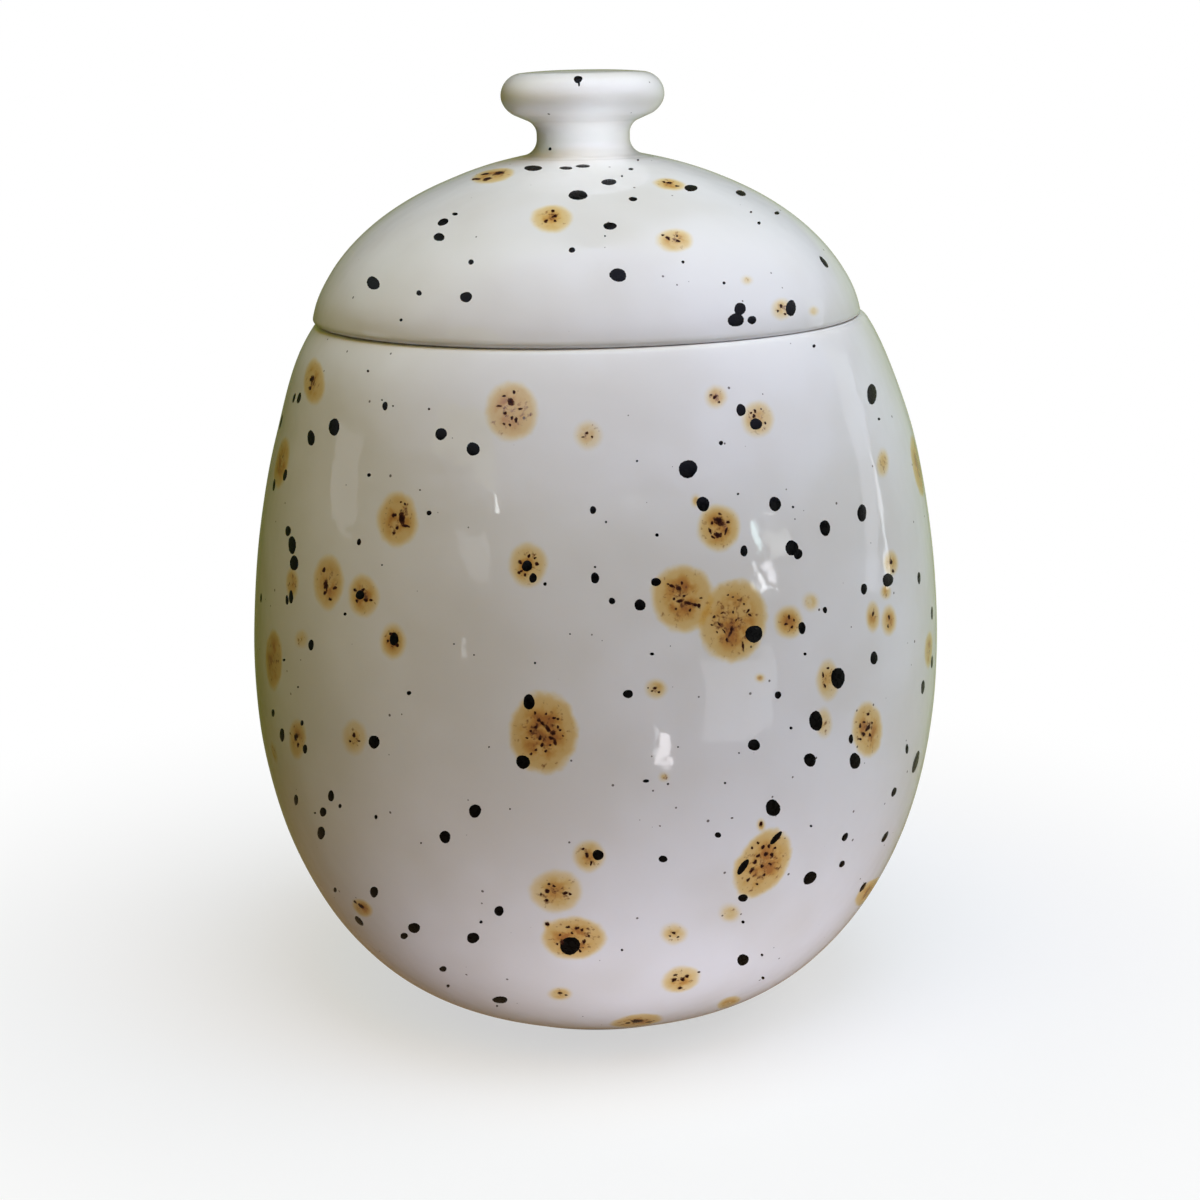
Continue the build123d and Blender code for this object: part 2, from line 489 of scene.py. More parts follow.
def noise(tree, here, scale, detail):
    """A cloudy pattern of that many waves to the metre."""
    return node(tree, "TexNoise", {"Vector": here, "Scale": scale, "Detail": detail}).outputs[0]


def new_finish(name):
    """A new material and its empty node tree."""
    material = bpy.data.materials.new(name)
    material.use_nodes = True
    material.node_tree.nodes.clear()
    return material, material.node_tree


def own_place(tree):
    """Where a place of the surface lies on its own piece, in metres."""
    return node(tree, "TexCoord").outputs["Object"]


def coated(pieces, material):
    """Gives pieces that material and no other."""
    for piece in pieces:
        piece.data.materials.clear()
        piece.data.materials.append(material)


# One layer of blotches. Iron soaks up blue most and red least, so the white turns yellow at the
# soft edge of a stain, tan inside and brown where clouds of iron lie thick. Flecks crowd to the
# middle and run outwards from it.
stain_colours = (
    (0.0, (1, 1, 1, 1)),
    (0.2, (0.975, 0.83, 0.53, 1)),
    (0.4, (0.90, 0.66, 0.29, 1)),
    (0.6, (0.80, 0.50, 0.16, 1)),
    (0.8, (0.68, 0.35, 0.09, 1)),
    (1.0, (0.52, 0.22, 0.06, 1)),
)
fleck_colour = (0.10, 0.035, 0.015, 1)
brown_haze = (0.30, 0.13, 0.045, 1)
stain = bpy.data.node_groups.new("iron_stain", "ShaderNodeTree")
stain.interface.new_socket("Glaze", in_out="INPUT", socket_type="NodeSocketColor")
for label in ("Place", "Nature", "Object"):
    stain.interface.new_socket(label, in_out="INPUT", socket_type="NodeSocketVector")
stain.interface.new_socket("Glaze", in_out="OUTPUT", socket_type="NodeSocketColor")
stain.interface.new_socket("Flecks", in_out="OUTPUT", socket_type="NodeSocketFloat")
given = stain.nodes.new("NodeGroupInput").outputs
result = stain.nodes.new("NodeGroupOutput").inputs
across = node(stain, "SeparateXYZ", {"Vector": given["Place"]}).outputs
kind = node(stain, "SeparateXYZ", {"Vector": given["Nature"]}).outputs
valid = sums(stain, "GREATER_THAN", across[2], 0.98)
flat = node(stain, "CombineXYZ", {"X": across[0], "Y": across[1]}).outputs[0]
reach = node(stain, "VectorMath", {0: flat}, operation="LENGTH").outputs["Value"]
slow = noise(stain, given["Object"], 190, 1.5)
quick = noise(stain, given["Object"], 620, 2)
uneven = sums(stain, "MULTIPLY_ADD", slow, 0.26, -0.13)
ragged = sums(stain, "MULTIPLY_ADD", quick, 0.1, -0.05)
edge = sums(stain, "ADD", reach, sums(stain, "ADD", uneven, ragged))
cloud = noise(stain, given["Object"], 260, 3)
clouded = ramped(stain, cloud, 0.36, 0.68, 0.35, 1.8)
soft = sums(stain, "DIVIDE", 0.13, sums(stain, "ADD", kind[2], 0.05))
rim_out = sums(stain, "MULTIPLY_ADD", soft, 0.85, 1)
rim_in = sums(stain, "MULTIPLY_ADD", soft, -1.1, 1)
soaked = ramped(stain, edge, rim_out, rim_in)
thick = sums(stain, "MULTIPLY", clouded, ramped(stain, edge, 0.95, 0.2))
iron = sums(stain, "ADD", soaked, thick)
iron = sums(stain, "MULTIPLY", sums(stain, "MULTIPLY", kind[0], valid), iron)
shade = graded(stain, sums(stain, "MULTIPLY", iron, 0.43), stain_colours)
way_out = node(stain, "VectorMath", {0: flat}, operation="NORMALIZE").outputs[0]
way_out = node(stain, "SeparateXYZ", {"Vector": way_out}).outputs
ray_step = sums(stain, "MULTIPLY_ADD", reach, 0.5, sums(stain, "MULTIPLY", kind[2], 37))
rays_at = node(stain, "CombineXYZ", {"X": way_out[0], "Y": way_out[1], "Z": ray_step}).outputs[0]
rays = noise(stain, rays_at, 7, 2)
grain = noise(stain, given["Object"], 1000, 2.5)
clump = noise(stain, given["Object"], 380, 1)
crowd = sums(stain, "MULTIPLY", grain, 0.5)
crowd = sums(stain, "MULTIPLY_ADD", rays, 0.2, crowd)
crowd = sums(stain, "MULTIPLY_ADD", clump, 0.3, crowd)
limit = ramped(stain, reach, 0.0, 1.0, 0.575, 0.665)
limit = sums(stain, "SUBTRACT", limit, sums(stain, "MULTIPLY", kind[1], 0.045))
over = sums(stain, "SUBTRACT", crowd, limit)
inside = sums(stain, "MULTIPLY", ramped(stain, edge, 1.0, 0.85), valid)
flecked = sums(stain, "MULTIPLY", ramped(stain, over, 0.0, 0.08, 0, 0.85), inside)
browned = sums(stain, "MULTIPLY", ramped(stain, over, -0.06, 0.02, 0, 0.6), inside)
coat = layered(stain, 1.0, given["Glaze"], shade, "MULTIPLY")
coat = layered(stain, browned, coat, brown_haze)
coat = layered(stain, flecked, coat, fleck_colour)
stain.links.new(coat, result["Glaze"])
stain.links.new(flecked, result["Flecks"])

glaze, coat_tree = new_finish("spatter_glaze")
here = own_place(coat_tree)
drift = noise(coat_tree, here, 28, 2)
thick_white = (0.80, 0.79, 0.785, 1)
thin_white = (0.74, 0.72, 0.69, 1)
coat = layered(coat_tree, ramped(coat_tree, drift, 0.35, 0.65), thin_white, thick_white)
flecks = 0.0
for layer in layers:
    at = node(coat_tree, "Attribute", attribute_name="place_" + layer).outputs["Vector"]
    kind = node(coat_tree, "Attribute", attribute_name="nature_" + layer).outputs["Vector"]
    new = node(coat_tree, "Group", node_tree=stain)
    for name, value in (("Glaze", coat), ("Place", at), ("Nature", kind), ("Object", here)):
        coat_tree.links.new(value, new.inputs[name])
    coat = new.outputs["Glaze"]
    flecks = sums(coat_tree, "MAXIMUM", flecks, new.outputs["Flecks"])

# Specks of iron under half a millimetre, too many to lay one by one.
speck_cells = node(coat_tree, "TexVoronoi", {"Vector": here, "Scale": 190}, feature="F1")
speck_size = node(coat_tree, "SeparateColor", {"Color": speck_cells.outputs["Color"]}).outputs[0]
speck_size = ramped(coat_tree, speck_size, 0, 1, 0.025, 0.075)
speck_gap = sums(coat_tree, "SUBTRACT", speck_size, speck_cells.outputs["Distance"])
specks = ramped(coat_tree, speck_gap, 0.0, 0.012, 0.0, 0.85)
speck_colour = (0.06, 0.04, 0.03, 1)
coat = layered(coat_tree, specks, coat, speck_colour)

clay_grain = noise(coat_tree, here, 1400, 3)
pale_clay, dark_clay = (0.50, 0.40, 0.29, 1), (0.36, 0.26, 0.17, 1)
clay = layered(coat_tree, ramped(coat_tree, clay_grain, 0.4, 0.7), pale_clay, dark_clay)
wiped = node(coat_tree, "Attribute", attribute_name="bare_clay").outputs["Fac"]
wobble = sums(coat_tree, "MULTIPLY_ADD", clay_grain, 0.5, -0.25)
wiped = ramped(coat_tree, sums(coat_tree, "ADD", wiped, wobble), 0.42, 0.58)
coat = layered(coat_tree, wiped, coat, clay)

sheen_drift = noise(coat_tree, here, 60, 2)
roughness = ramped(coat_tree, sheen_drift, 0.3, 0.7, 0.03, 0.07)
roughness = sums(coat_tree, "MULTIPLY_ADD", flecks, 0.12, roughness)
roughness = ramped(coat_tree, wiped, 0, 1, roughness, 0.85)

# The coat ran and pooled a little, so its surface rolls gently; wiped clay is gritty.
rolls = noise(coat_tree, here, 95, 0)
pools = noise(coat_tree, here, 38, 0)
peel = noise(coat_tree, here, 300, 0)
grit = sums(coat_tree, "MULTIPLY", sums(coat_tree, "MULTIPLY", clay_grain, wiped), 0.25)
relief = sums(coat_tree, "MULTIPLY_ADD", pools, 1.6, rolls)
relief = sums(coat_tree, "MULTIPLY_ADD", peel, 0.26, relief)
relief = sums(coat_tree, "ADD", relief, grit)
roll_depth = 0.16 * mm
bump = node(coat_tree, "Bump", {"Height": relief, "Strength": 1.0, "Distance": roll_depth}).outputs[0]
skin = {"Base Color": coat, "Roughness": roughness, "Normal": bump, "IOR": 1.5}
skin = node(coat_tree, "BsdfPrincipled", skin).outputs[0]
node(coat_tree, "OutputMaterial", {"Surface": skin})
coated([jar, lid, knob], glaze)


# Iron drops: black glaze flicked from a brush. Each dried as a low round bead and melted to a
# glossy lens. One bead is shaped, then laid again and again, each with its own outline.
def disc(sides, radius=1):
    """A flat disc at the origin."""
    alone()
    bpy.ops.mesh.primitive_circle_add(vertices=sides, radius=radius, fill_type="NGON", location=(0, 0, 0))
    return bpy.context.object


def low_bead(sides, insets, peak):
    """A disc raised in steps, each an inset's (width, rise), to a low point in the middle."""
    bead = disc(sides)
    bpy.ops.object.mode_set(mode="EDIT")
    bpy.ops.mesh.select_mode(type="FACE")
    bpy.ops.mesh.select_all(action="SELECT")
    for width, rise in insets:
        bpy.ops.mesh.inset(thickness=width, depth=rise)
    bpy.ops.mesh.poke(offset=peak)
    bpy.ops.object.mode_set(mode="OBJECT")
    bpy.ops.object.shade_smooth()
    return bead


def laid(bead, pot, place, long, wide, height, ragged):
    """A copy of a bead laid on a pot, with these half axes and an outline of its own."""
    sink = 0.03 * mm
    drop = bead.copy()
    drop.data = bead.data.copy()
    bpy.context.collection.objects.link(drop)
    waves = [(turns, chance.uniform(0, math.tau), ragged / turns) for turns in (2, 3, 5)]
    for vertex in drop.data.vertices:
        x, y, up = vertex.co
        angle = math.atan2(y, x)
        stretch = 1 + sum(size * math.sin(turns * angle + start) for turns, start, size in waves)
        _, spot, out, _ = pot.closest_point_on_mesh(place + (long * x + wide * y) * stretch)
        vertex.co = spot + out * (height * up - sink)
    return drop


def found(spots):
    """The pot, place and half axes of spots that the view shows as (x, y, width, height, tilt)."""
    for x, y, width, *rest in spots:
        height = rest[0] if rest else width
        pot, place, facing = landing([jar, lid, knob], x, y)
        long, wide = spread(place, facing, x, y, width, height, *rest[1:])
        yield pot, place, long, wide


def joined(drops, kind, material):
    """Joins what was laid on each body into one piece of that material, which moves with it."""
    for body, pieces in drops.items():
        alone(*pieces)
        bpy.ops.object.join()
        piece = bpy.context.object
        piece.name = piece.data.name = f"{body}_{kind}"
        coated([piece], material)
        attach(piece, body)


# The drops as the view shows them. Round ones have no height, and most aren't tilted.
drops_seen = [
    (578, 79, 8, 7), (579, 84, 2, 5), (550, 149, 3), (533, 168, 18, 5), (566, 168, 12, 3),
    (583, 166, 14, 3), (631, 169, 5, 2), (638, 160, 2), (609, 182, 14, 6), (622, 176, 2), (633, 199, 8, 4),
    (578, 195, 19, 9), (691, 188, 13, 6), (610, 226, 12, 7), (605, 236, 2), (572, 250, 6, 5),
    (618, 275, 16, 13), (443, 222, 11, 6, 25), (455, 214, 5, 3), (439, 237, 10, 8), (471, 262, 5),
    (373, 283, 12, 13, 35), (419, 293, 5), (466, 297, 11, 10), (401, 320, 3), (683, 262, 3), (724, 283, 3),
    (740, 309, 11, 12), (736, 320, 15, 13), (752, 320, 8), (791, 308, 10, 15), (824, 262, 13, 8, -50),
    (741, 193, 10, 5, -20), (751, 212, 2), (759, 223, 3), (777, 213, 5, 3), (294, 398, 3, 9),
    (299, 398, 4, 11), (281, 422, 7, 14), (311, 438, 7, 15), (334, 427, 10, 17), (285, 475, 4, 11),
    (274, 485, 4, 11), (385, 406, 5, 8), (393, 406, 2), (382, 400, 2), (429, 409, 2.5), (368, 371, 2.5),
    (441, 434, 11), (473, 449, 12, 13), (369, 475, 3.5), (420, 490, 2), (429, 513, 4.5), (359, 542, 4, 6),
    (382, 565, 2), (288, 531, 5, 10), (292, 545, 7, 18), (294, 563, 8, 15), (291, 597, 4, 12),
    (287, 600, 3, 9), (261, 598, 3, 9), (360, 595, 8, 9), (345, 614, 3), (394, 639, 8, 13),
    (311, 645, 5, 10), (284, 660, 2.5), (527, 566, 10), (533, 578, 7, 9), (545, 584, 3.5), (454, 644, 2),
    (474, 655, 2), (535, 663, 2.5), (570, 634, 2), (593, 510, 6, 7), (595, 578, 8, 10), (595, 567, 2.5),
    (409, 693, 4), (298, 687, 2), (273, 713, 3, 7), (282, 735, 4.5, 13), (302, 723, 3, 5), (305, 749, 4, 9),
    (374, 742, 10, 13), (529, 702, 11, 14), (523, 762, 14, 12, -25), (489, 747, 2), (296, 800, 4, 10),
    (331, 796, 6, 10), (340, 806, 3, 4), (323, 812, 6, 9), (315, 813, 2), (321, 833, 7, 13),
    (376, 817, 3, 4), (510, 809, 2), (475, 811, 11, 13), (445, 837, 10, 12), (421, 843, 2), (598, 855, 10),
    (374, 892, 8, 10), (335, 890, 3, 5), (359, 921, 11, 5, -50), (414, 928, 11, 10), (404, 936, 7, 6),
    (499, 911, 9), (481, 922, 3), (473, 938, 12, 10), (570, 946, 20, 17), (443, 969, 7, 5), (448, 986, 3),
    (500, 1000, 14, 7), (497, 1006, 2), (741, 410, 9, 11), (756, 424, 11), (721, 443, 4),
    (688, 469, 18, 17), (703, 504, 12, 14), (775, 504, 11, 14), (825, 528, 10, 15), (862, 513, 9, 16),
    (744, 551, 7, 10), (792, 548, 12, 15), (798, 554, 8, 10), (872, 394, 9, 21), (879, 419, 2.5),
    (814, 346, 3), (637, 461, 2.5), (874, 327, 4, 12), (657, 535, 3.5), (606, 522, 2.5), (738, 494, 2.5),
    (793, 507, 2.5), (656, 582, 9, 8), (754, 634, 16, 17), (640, 605, 10, 11), (612, 601, 6),
    (802, 628, 7, 11), (825, 610, 4, 6), (864, 589, 6, 10), (888, 580, 10, 13), (919, 578, 3, 11),
    (874, 658, 7, 12), (932, 613, 2, 12), (932, 662, 3, 12), (805, 654, 3), (652, 654, 4, 3),
    (838, 678, 13, 21), (923, 687, 4, 13), (628, 694, 9, 8), (778, 695, 6, 7), (816, 721, 13, 19),
    (851, 739, 4, 9), (855, 761, 10, 16), (754, 745, 11), (810, 760, 11, 13), (791, 728, 3), (678, 747, 2),
    (739, 753, 2), (907, 749, 3, 9), (916, 762, 4, 22), (894, 792, 4, 9, -20), (811, 826, 2.5),
    (845, 837, 4.5, 9, -30), (885, 837, 3.5, 12, -28), (842, 864, 4.5, 7, -30), (810, 878, 10, 14.5, -40),
    (863, 887, 3, 11, -33), (646, 781, 6, 3), (668, 784, 2.5), (725, 783, 2.5), (732, 818, 3, 1.5),
    (773, 808, 14, 16), (743, 867, 6, 18, -35), (776, 838, 5, 16, -40), (743, 898, 9, 7), (718, 835, 6, 5),
    (663, 859, 8, 6.5), (622, 950, 2.5), (743, 922, 3), (762, 955, 2.5), (743, 960, 12, 10, 35),
    (763, 978, 3),
]
drop_bead = low_bead(14, [(0.16, 0.55), (0.36, 0.36)], 0.09)
drop_edge = 0.09
drops = {"jar": [], "lid": []}
for pot, place, long, wide in found(drops_seen):
    size = (long.length + wide.length) / 2
    sunk = 1.1 + 0.12 * mm / size
    raised = min(0.09 * mm, size * 0.07) + 0.02 * mm
    drop = laid(drop_bead, pot, place, long * sunk, wide * sunk, raised, drop_edge)
    drops["jar" if pot is jar else "lid"].append(drop)
for pot, body, count in ((jar, "jar", 130), (lid, "lid", 24)):
    for place, facing, size in scattered(pot, count, 2.4):
        size = size - 0.65
        long, wide = uneven_axes(facing, size)
        raised = min(0.11, size * 0.07 + 0.02) * mm
        drops[body].append(laid(drop_bead, pot, place, long, wide, raised, drop_edge))
bpy.data.objects.remove(drop_bead)

black_glaze, black_tree = new_finish("iron_black_glaze")
mottle = noise(black_tree, own_place(black_tree), 900, 2)
black, brown_black = (0.002, 0.002, 0.002, 1), (0.005, 0.0045, 0.004, 1)
dark = layered(black_tree, ramped(black_tree, mottle, 0.35, 0.7), black, brown_black)
shine = ramped(black_tree, mottle, 0.3, 0.7, 0.2, 0.35)
skin = node(black_tree, "BsdfPrincipled", {"Base Color": dark, "Roughness": shine, "IOR": 1.17})
node(black_tree, "OutputMaterial", {"Surface": skin.outputs[0]})
joined(drops, "drops", black_glaze)

# Iron flecks: where the iron lay thickest in a blotch it came out of the melt again as dark red
# crystals. They're thin and lie flat in the glaze, with ragged edges that fade into the stain.
fleck_bead = low_bead(12, [(0.4, 0.6)], 0.4)
_, radius = places_of(fleck_bead)
mark(fleck_bead, "way_out", radius * mm)
flecks_seen = [
    (511, 402, 8), (505, 413, 5, 3.5), (514, 392, 3, 4.5), (504, 396, 4, 2.5), (512, 418, 3, 5),
    (516, 420, 4, 5), (499, 406, 6, 2.5), (520, 409, 5, 2.5), (504, 424, 3), (510, 425, 3),
    (402, 518, 7, 17), (394, 515, 5, 5, 40), (397, 528, 4), (401, 502, 2.5), (405, 504, 2.5, 3),
    (406, 526, 9, 3, -15), (394, 533, 4, 3), (719, 521, 12, 10), (718, 535, 8, 7), (710, 531, 3, 7, 15),
    (726, 531, 3, 8, -20), (712, 523, 3, 4), (728, 522, 4), (713, 537, 5, 3, -40), (720, 514, 5, 3),
    (755, 411, 3, 4), (754, 416, 4), (751, 413, 2.5), (765, 423, 3), (761, 409, 2), (520, 562, 5, 4.5),
    (537, 564, 5, 4), (529, 556, 3, 5), (520, 572, 6, 4, 20), (525, 575, 3.5), (535, 558, 3),
    (326, 585, 4.5, 14), (325, 593, 3.5, 5), (324, 570, 4, 5), (330, 599, 4), (335, 588, 5, 4),
    (355, 590, 4), (363, 590, 4), (366, 600, 4.5), (371, 600, 4, 3), (357, 601, 3, 4), (391, 634, 4),
    (397, 645, 4, 5), (388, 641, 3), (547, 891, 5, 6), (549, 884, 3, 3.5), (554, 886, 4, 2.5),
    (565, 893, 6, 4), (570, 894, 3.5), (547, 900, 4, 3.5), (541, 894, 3), (587, 855, 5), (591, 863, 3, 5),
    (583, 849, 4, 2.5), (547, 924, 5), (868, 728, 4, 8, -25), (863, 734, 5), (868, 714, 3.5, 4),
    (860, 726, 3, 5), (864, 722, 3), (872, 723, 3), (870, 735, 3, 4), (860, 739, 3.5, 3),
    (674, 980, 6, 4, 30), (683, 979, 5, 5.5), (687, 976, 5, 3.5, 30), (675, 975, 5, 2.5, 20),
    (680, 988, 5, 3), (699, 972, 3, 2.5), (555, 216, 7, 4, 30), (546, 221, 5, 3.5), (553, 211, 3.5, 4),
    (555, 221, 4, 2.5), (668, 238, 7, 3.5, -25), (678, 241, 6, 2.5, -15), (663, 235, 3.5, 2.5),
    (677, 236, 3, 2), (487, 179, 10, 3.5, 10), (476, 179, 9, 3, 5), (485, 174, 8, 2.5, 10),
    (499, 173, 14, 3, 8), (543, 724, 7, 4, -52), (548, 729, 9, 5, -52), (553, 733, 6, 5, -52),
    (546, 714, 3, 2.5), (554, 718, 4, 3), (558, 719, 3), (536, 727, 4), (531, 731, 4, 3),
    (551, 738, 6, 4, -30), (555, 742, 4, 7, 20), (540, 738, 4, 5), (542, 745, 5, 4, 40),
    (536, 750, 4, 3, 40), (531, 754, 4, 2.5, 40), (539, 720, 5, 4, -50), (535, 713, 4, 3, 60),
    (560, 730, 3), (563, 736, 2.5), (546, 751, 3, 4), (558, 727, 2.5, 4), (527, 738, 3, 2), (550, 745, 3),
    (672, 586, 7, 3.5, -15), (679, 589, 6), (668, 584, 4, 2), (680, 601, 9, 4, 10), (688, 603, 9, 5),
    (695, 605, 6, 4, -15), (674, 599, 4, 3), (699, 606, 5, 5, -40), (684, 596, 3), (690, 610, 3, 4),
    (676, 609, 3), (682, 583, 3, 4, 30), (701, 598, 3, 2), (728, 595, 3, 2), (733, 597, 3, 2),
    (738, 600, 3, 2), (733, 612, 3), (748, 611, 5, 3, 45), (750, 615, 5, 2.5, -45), (714, 617, 5, 2.5, 30),
    (719, 624, 5, 2.5, -60), (724, 631, 5, 2.5, -50), (731, 631, 4, 10, -15), (727, 640, 3, 4.5),
    (743, 646, 3, 12, 5), (717, 632, 3, 2, -45), (722, 613, 3, 2, 20), (744, 604, 3, 2), (736, 620, 2.5, 3),
    (712, 625, 3, 2), (778, 838, 4, 6, -40), (752, 848, 3), (758, 843, 4, 3, 30), (763, 847, 5, 4, 50),
    (769, 846, 4), (766, 854, 5, 5, 40), (758, 856, 5, 4, 50), (772, 855, 4, 6, -30), (752, 870, 4, 9, -35),
    (755, 862, 5), (748, 880, 3, 6, -30), (762, 866, 4, 4, 50), (770, 864, 4, 3), (764, 875, 4, 3, 45),
    (757, 884, 3), (775, 848, 3), (563, 943, 7), (577, 928, 6, 3.5, 30), (582, 930, 3, 4), (584, 942, 4, 6),
    (568, 927, 5, 3), (572, 933, 3), (580, 951, 4, 3, -30), (589, 936, 3), (560, 935, 3), (557, 944, 3),
    (655, 688, 5, 4), (659, 692, 3), (652, 691, 3, 2.5), (648, 688, 2), (715, 397, 5, 4, 20), (719, 402, 3),
    (711, 395, 3, 2), (587, 433, 4, 3), (592, 437, 3), (583, 437, 3, 2), (789, 617, 3, 5), (786, 624, 4, 3),
    (792, 627, 3), (794, 620, 2, 3), (781, 306, 4), (778, 311, 3), (785, 314, 3, 2.5), (296, 737, 4, 9),
    (298, 745, 3, 5), (312, 379, 4, 9, -15), (310, 388, 3, 5), (674, 933, 5, 3), (678, 937, 3, 2.5),
    (670, 936, 3, 2), (637, 1021, 14, 4), (628, 1023, 7, 2.5), (649, 1022, 7, 2), (669, 183, 8, 2.5, -8),
    (677, 186, 5, 2), (664, 182, 4, 2), (560, 993, 5, 2.5), (566, 995, 3, 2), (823, 675, 2.5, 6),
    (825, 686, 2.5, 5), (828, 668, 3), (891, 562, 3, 6), (893, 571, 3, 4), (873, 614, 2.5, 5),
    (889, 617, 2.5, 5), (888, 626, 2, 4), (660, 826, 2), (761, 824, 4, 6), (354, 735, 4, 5), (350, 741, 3),
    (359, 741, 3, 2.5), (361, 906, 7, 4, -35), (355, 902, 4, 2.5, -40),
]
fleck_height, fleck_edge, fleck_fade = 0.1 * mm, 0.3, 1.3
flecks = {"jar": [], "lid": []}
for pot, place, long, wide in found(flecks_seen):
    long, wide = long * fleck_fade, wide * fleck_fade
    fleck = laid(fleck_bead, pot, place, long, wide, fleck_height, fleck_edge)
    flecks["jar" if pot is jar else "lid"].append(fleck)
bpy.data.objects.remove(fleck_bead)

rust, rust_tree = new_finish("iron_flecks")
out = node(rust_tree, "Attribute", attribute_name="way_out").outputs["Fac"]
torn = noise(rust_tree, own_place(rust_tree), 1500, 2)
out = sums(rust_tree, "ADD", out, sums(rust_tree, "MULTIPLY_ADD", torn, 1.2, -0.6))
shown = ramped(rust_tree, out, 0.95, 0.45)
dark_red, rust_brown = (0.022, 0.006, 0.004, 1), (0.13, 0.045, 0.018, 1)
red = layered(rust_tree, ramped(rust_tree, out, 0.2, 0.8), dark_red, rust_brown)
skin = {"Base Color": red, "Roughness": 0.2, "IOR": 1.15, "Alpha": shown}
skin = node(rust_tree, "BsdfPrincipled", skin).outputs[0]
node(rust_tree, "OutputMaterial", {"Surface": skin})
joined(flecks, "flecks", rust)

# Studio: a white table top that keeps the soft shadow under the pot and fades to plain white. A dark
# cloth lies on its left, and its front right, where most light falls, throws light up at the pot.
def glowing(tree, colour, strength=1.0):
    """Plain light of one colour."""
    return node(tree, "Emission", {"Color": colour, "Strength": strength}).outputs[0]


table = disc(96, 3)
table.name = "table"
paper, paper_tree = new_finish("white_paper")
here = own_place(paper_tree)
plain_white = (1, 1, 1, 1)
dark_cloth, lit_paper, paper_seen = (0.20, 0.12, 0.04, 1), (0.63, 0.63, 0.65, 1), (0.86, 0.86, 0.86, 1)
bright_side = (0.34, -0.94, 0)
far = node(paper_tree, "VectorMath", {0: here}, operation="LENGTH").outputs["Value"]
way = node(paper_tree, "VectorMath", {0: here}, operation="NORMALIZE").outputs[0]
ray = node(paper_tree, "LightPath").outputs
side = node(paper_tree, "SeparateXYZ", {"Vector": way}).outputs[0]
white = layered(paper_tree, ramped(paper_tree, side, -0.9, 0.2), dark_cloth, lit_paper)
white = layered(paper_tree, ray["Is Camera Ray"], white, paper_seen)
white = node(paper_tree, "BsdfDiffuse", {"Color": white}).outputs[0]
fade = sums(paper_tree, "MULTIPLY", ramped(paper_tree, far, 0.06, 0.3, 0.6, 1.0), ray["Is Camera Ray"])
faded = node(paper_tree, "MixShader", {0: fade, 1: white, 2: glowing(paper_tree, plain_white)}).outputs[0]
to_side = node(paper_tree, "VectorMath", {0: way, 1: bright_side}, operation="DOT_PRODUCT")
patch = ramped(paper_tree, to_side.outputs["Value"], 0.2, 0.95)
patch = sums(paper_tree, "MULTIPLY", patch, ramped(paper_tree, far, 0.24, 0.14))
patch = sums(paper_tree, "MULTIPLY", patch, ramped(paper_tree, far, 0.047, 0.115))
patch = sums(paper_tree, "MULTIPLY", patch, ray["Is Diffuse Ray"])
thrown = glowing(paper_tree, (1, 0.95, 1.1, 1), patch)
surface = node(paper_tree, "AddShader", {0: faded, 1: thrown}).outputs[0]
node(paper_tree, "OutputMaterial", {"Surface": surface})
coated([table], paper)
table.visible_glossy = False

# The room is white where it is seen or mirrored, and sheds a little grey light.
bpy.context.scene.view_settings.view_transform = "Standard"
world = bpy.data.worlds.new("room")
bpy.context.scene.world = world
world.use_nodes = True
room = world.node_tree
room.nodes.clear()
ray = node(room, "LightPath").outputs
seen = sums(room, "MAXIMUM", ray["Is Camera Ray"], ray["Is Glossy Ray"])
seen = sums(room, "MAXIMUM", seen, ray["Is Transmission Ray"])
white = node(room, "Background", {"Color": plain_white, "Strength": 1.0}).outputs[0]
grey = node(room, "Background", {"Color": plain_white, "Strength": 0.01}).outputs[0]
mixed = node(room, "MixShader", {0: seen, 1: grey, 2: white}).outputs[0]
node(room, "OutputWorld", {"Surface": mixed})


def lamp(kind, name, place, aim, power, colour):
    """A lamp that shines that way. The glaze doesn't mirror it."""
    alone()
    rotation = aim.to_track_quat("-Z", "Y").to_euler()
    bpy.ops.object.light_add(type=kind, location=place, rotation=rotation)
    new = bpy.context.object
    new.name = name
    new.data.energy = power
    new.data.color = colour
    new.visible_glossy = False
    return new


def soft_lamp(name, azimuth, elevation, power, colour):
    """A large lamp that points at the pot. Azimuth 0 is the front and 90 the right."""
    distance, middle = 1.2, Vector((0, 0, 0.12))
    turn, rise = math.radians(azimuth), math.radians(elevation)
    level, up = distance * math.cos(rise), distance * math.sin(rise)
    place = middle + Vector((level * math.sin(turn), -level * math.cos(turn), up))
    new = lamp("AREA", name, place, middle - place, power, colour)
    new.data.shape = "SQUARE"
    new.data.size = 0.8


def knob_light(name, place, target, power, degrees, softness):
    """A narrow lamp that lights only the knob. Places are in millimetres."""
    cool_white = (0.86, 0.92, 1)
    aim = Vector(target) - Vector(place)
    new = lamp("SPOT", name, Vector(place) * mm, aim, power, cool_white)
    new.data.shadow_soft_size = softness * mm
    new.data.spot_size = math.radians(degrees)
    new.data.spot_blend = 1
    new.light_linking.receiver_collection = knob_only


soft_lamp("top_right", 30, 73, 12.9, (0.475, 0.745, 1.0))
soft_lamp("top_front", 0, 67, 4.7, (1.0, 0.38, 0.1))
soft_lamp("right_lamp", 90, 35, 4.2, (1.0, 0.98, 0.88))
soft_lamp("left_lamp", -60, 50, 1.8, (0.95, 1.0, 0.0))
knob_only = bpy.data.collections.new("knob_only")
knob_only.objects.link(knob)
knob_light("knob_lamp", (215, -500, 235), (0, 0, 226), 22.5, 6, 50)
knob_light("neck_lamp", (50, -548, 205), (-1.2, 0, 223.5), 6.6, 3.0, 4)


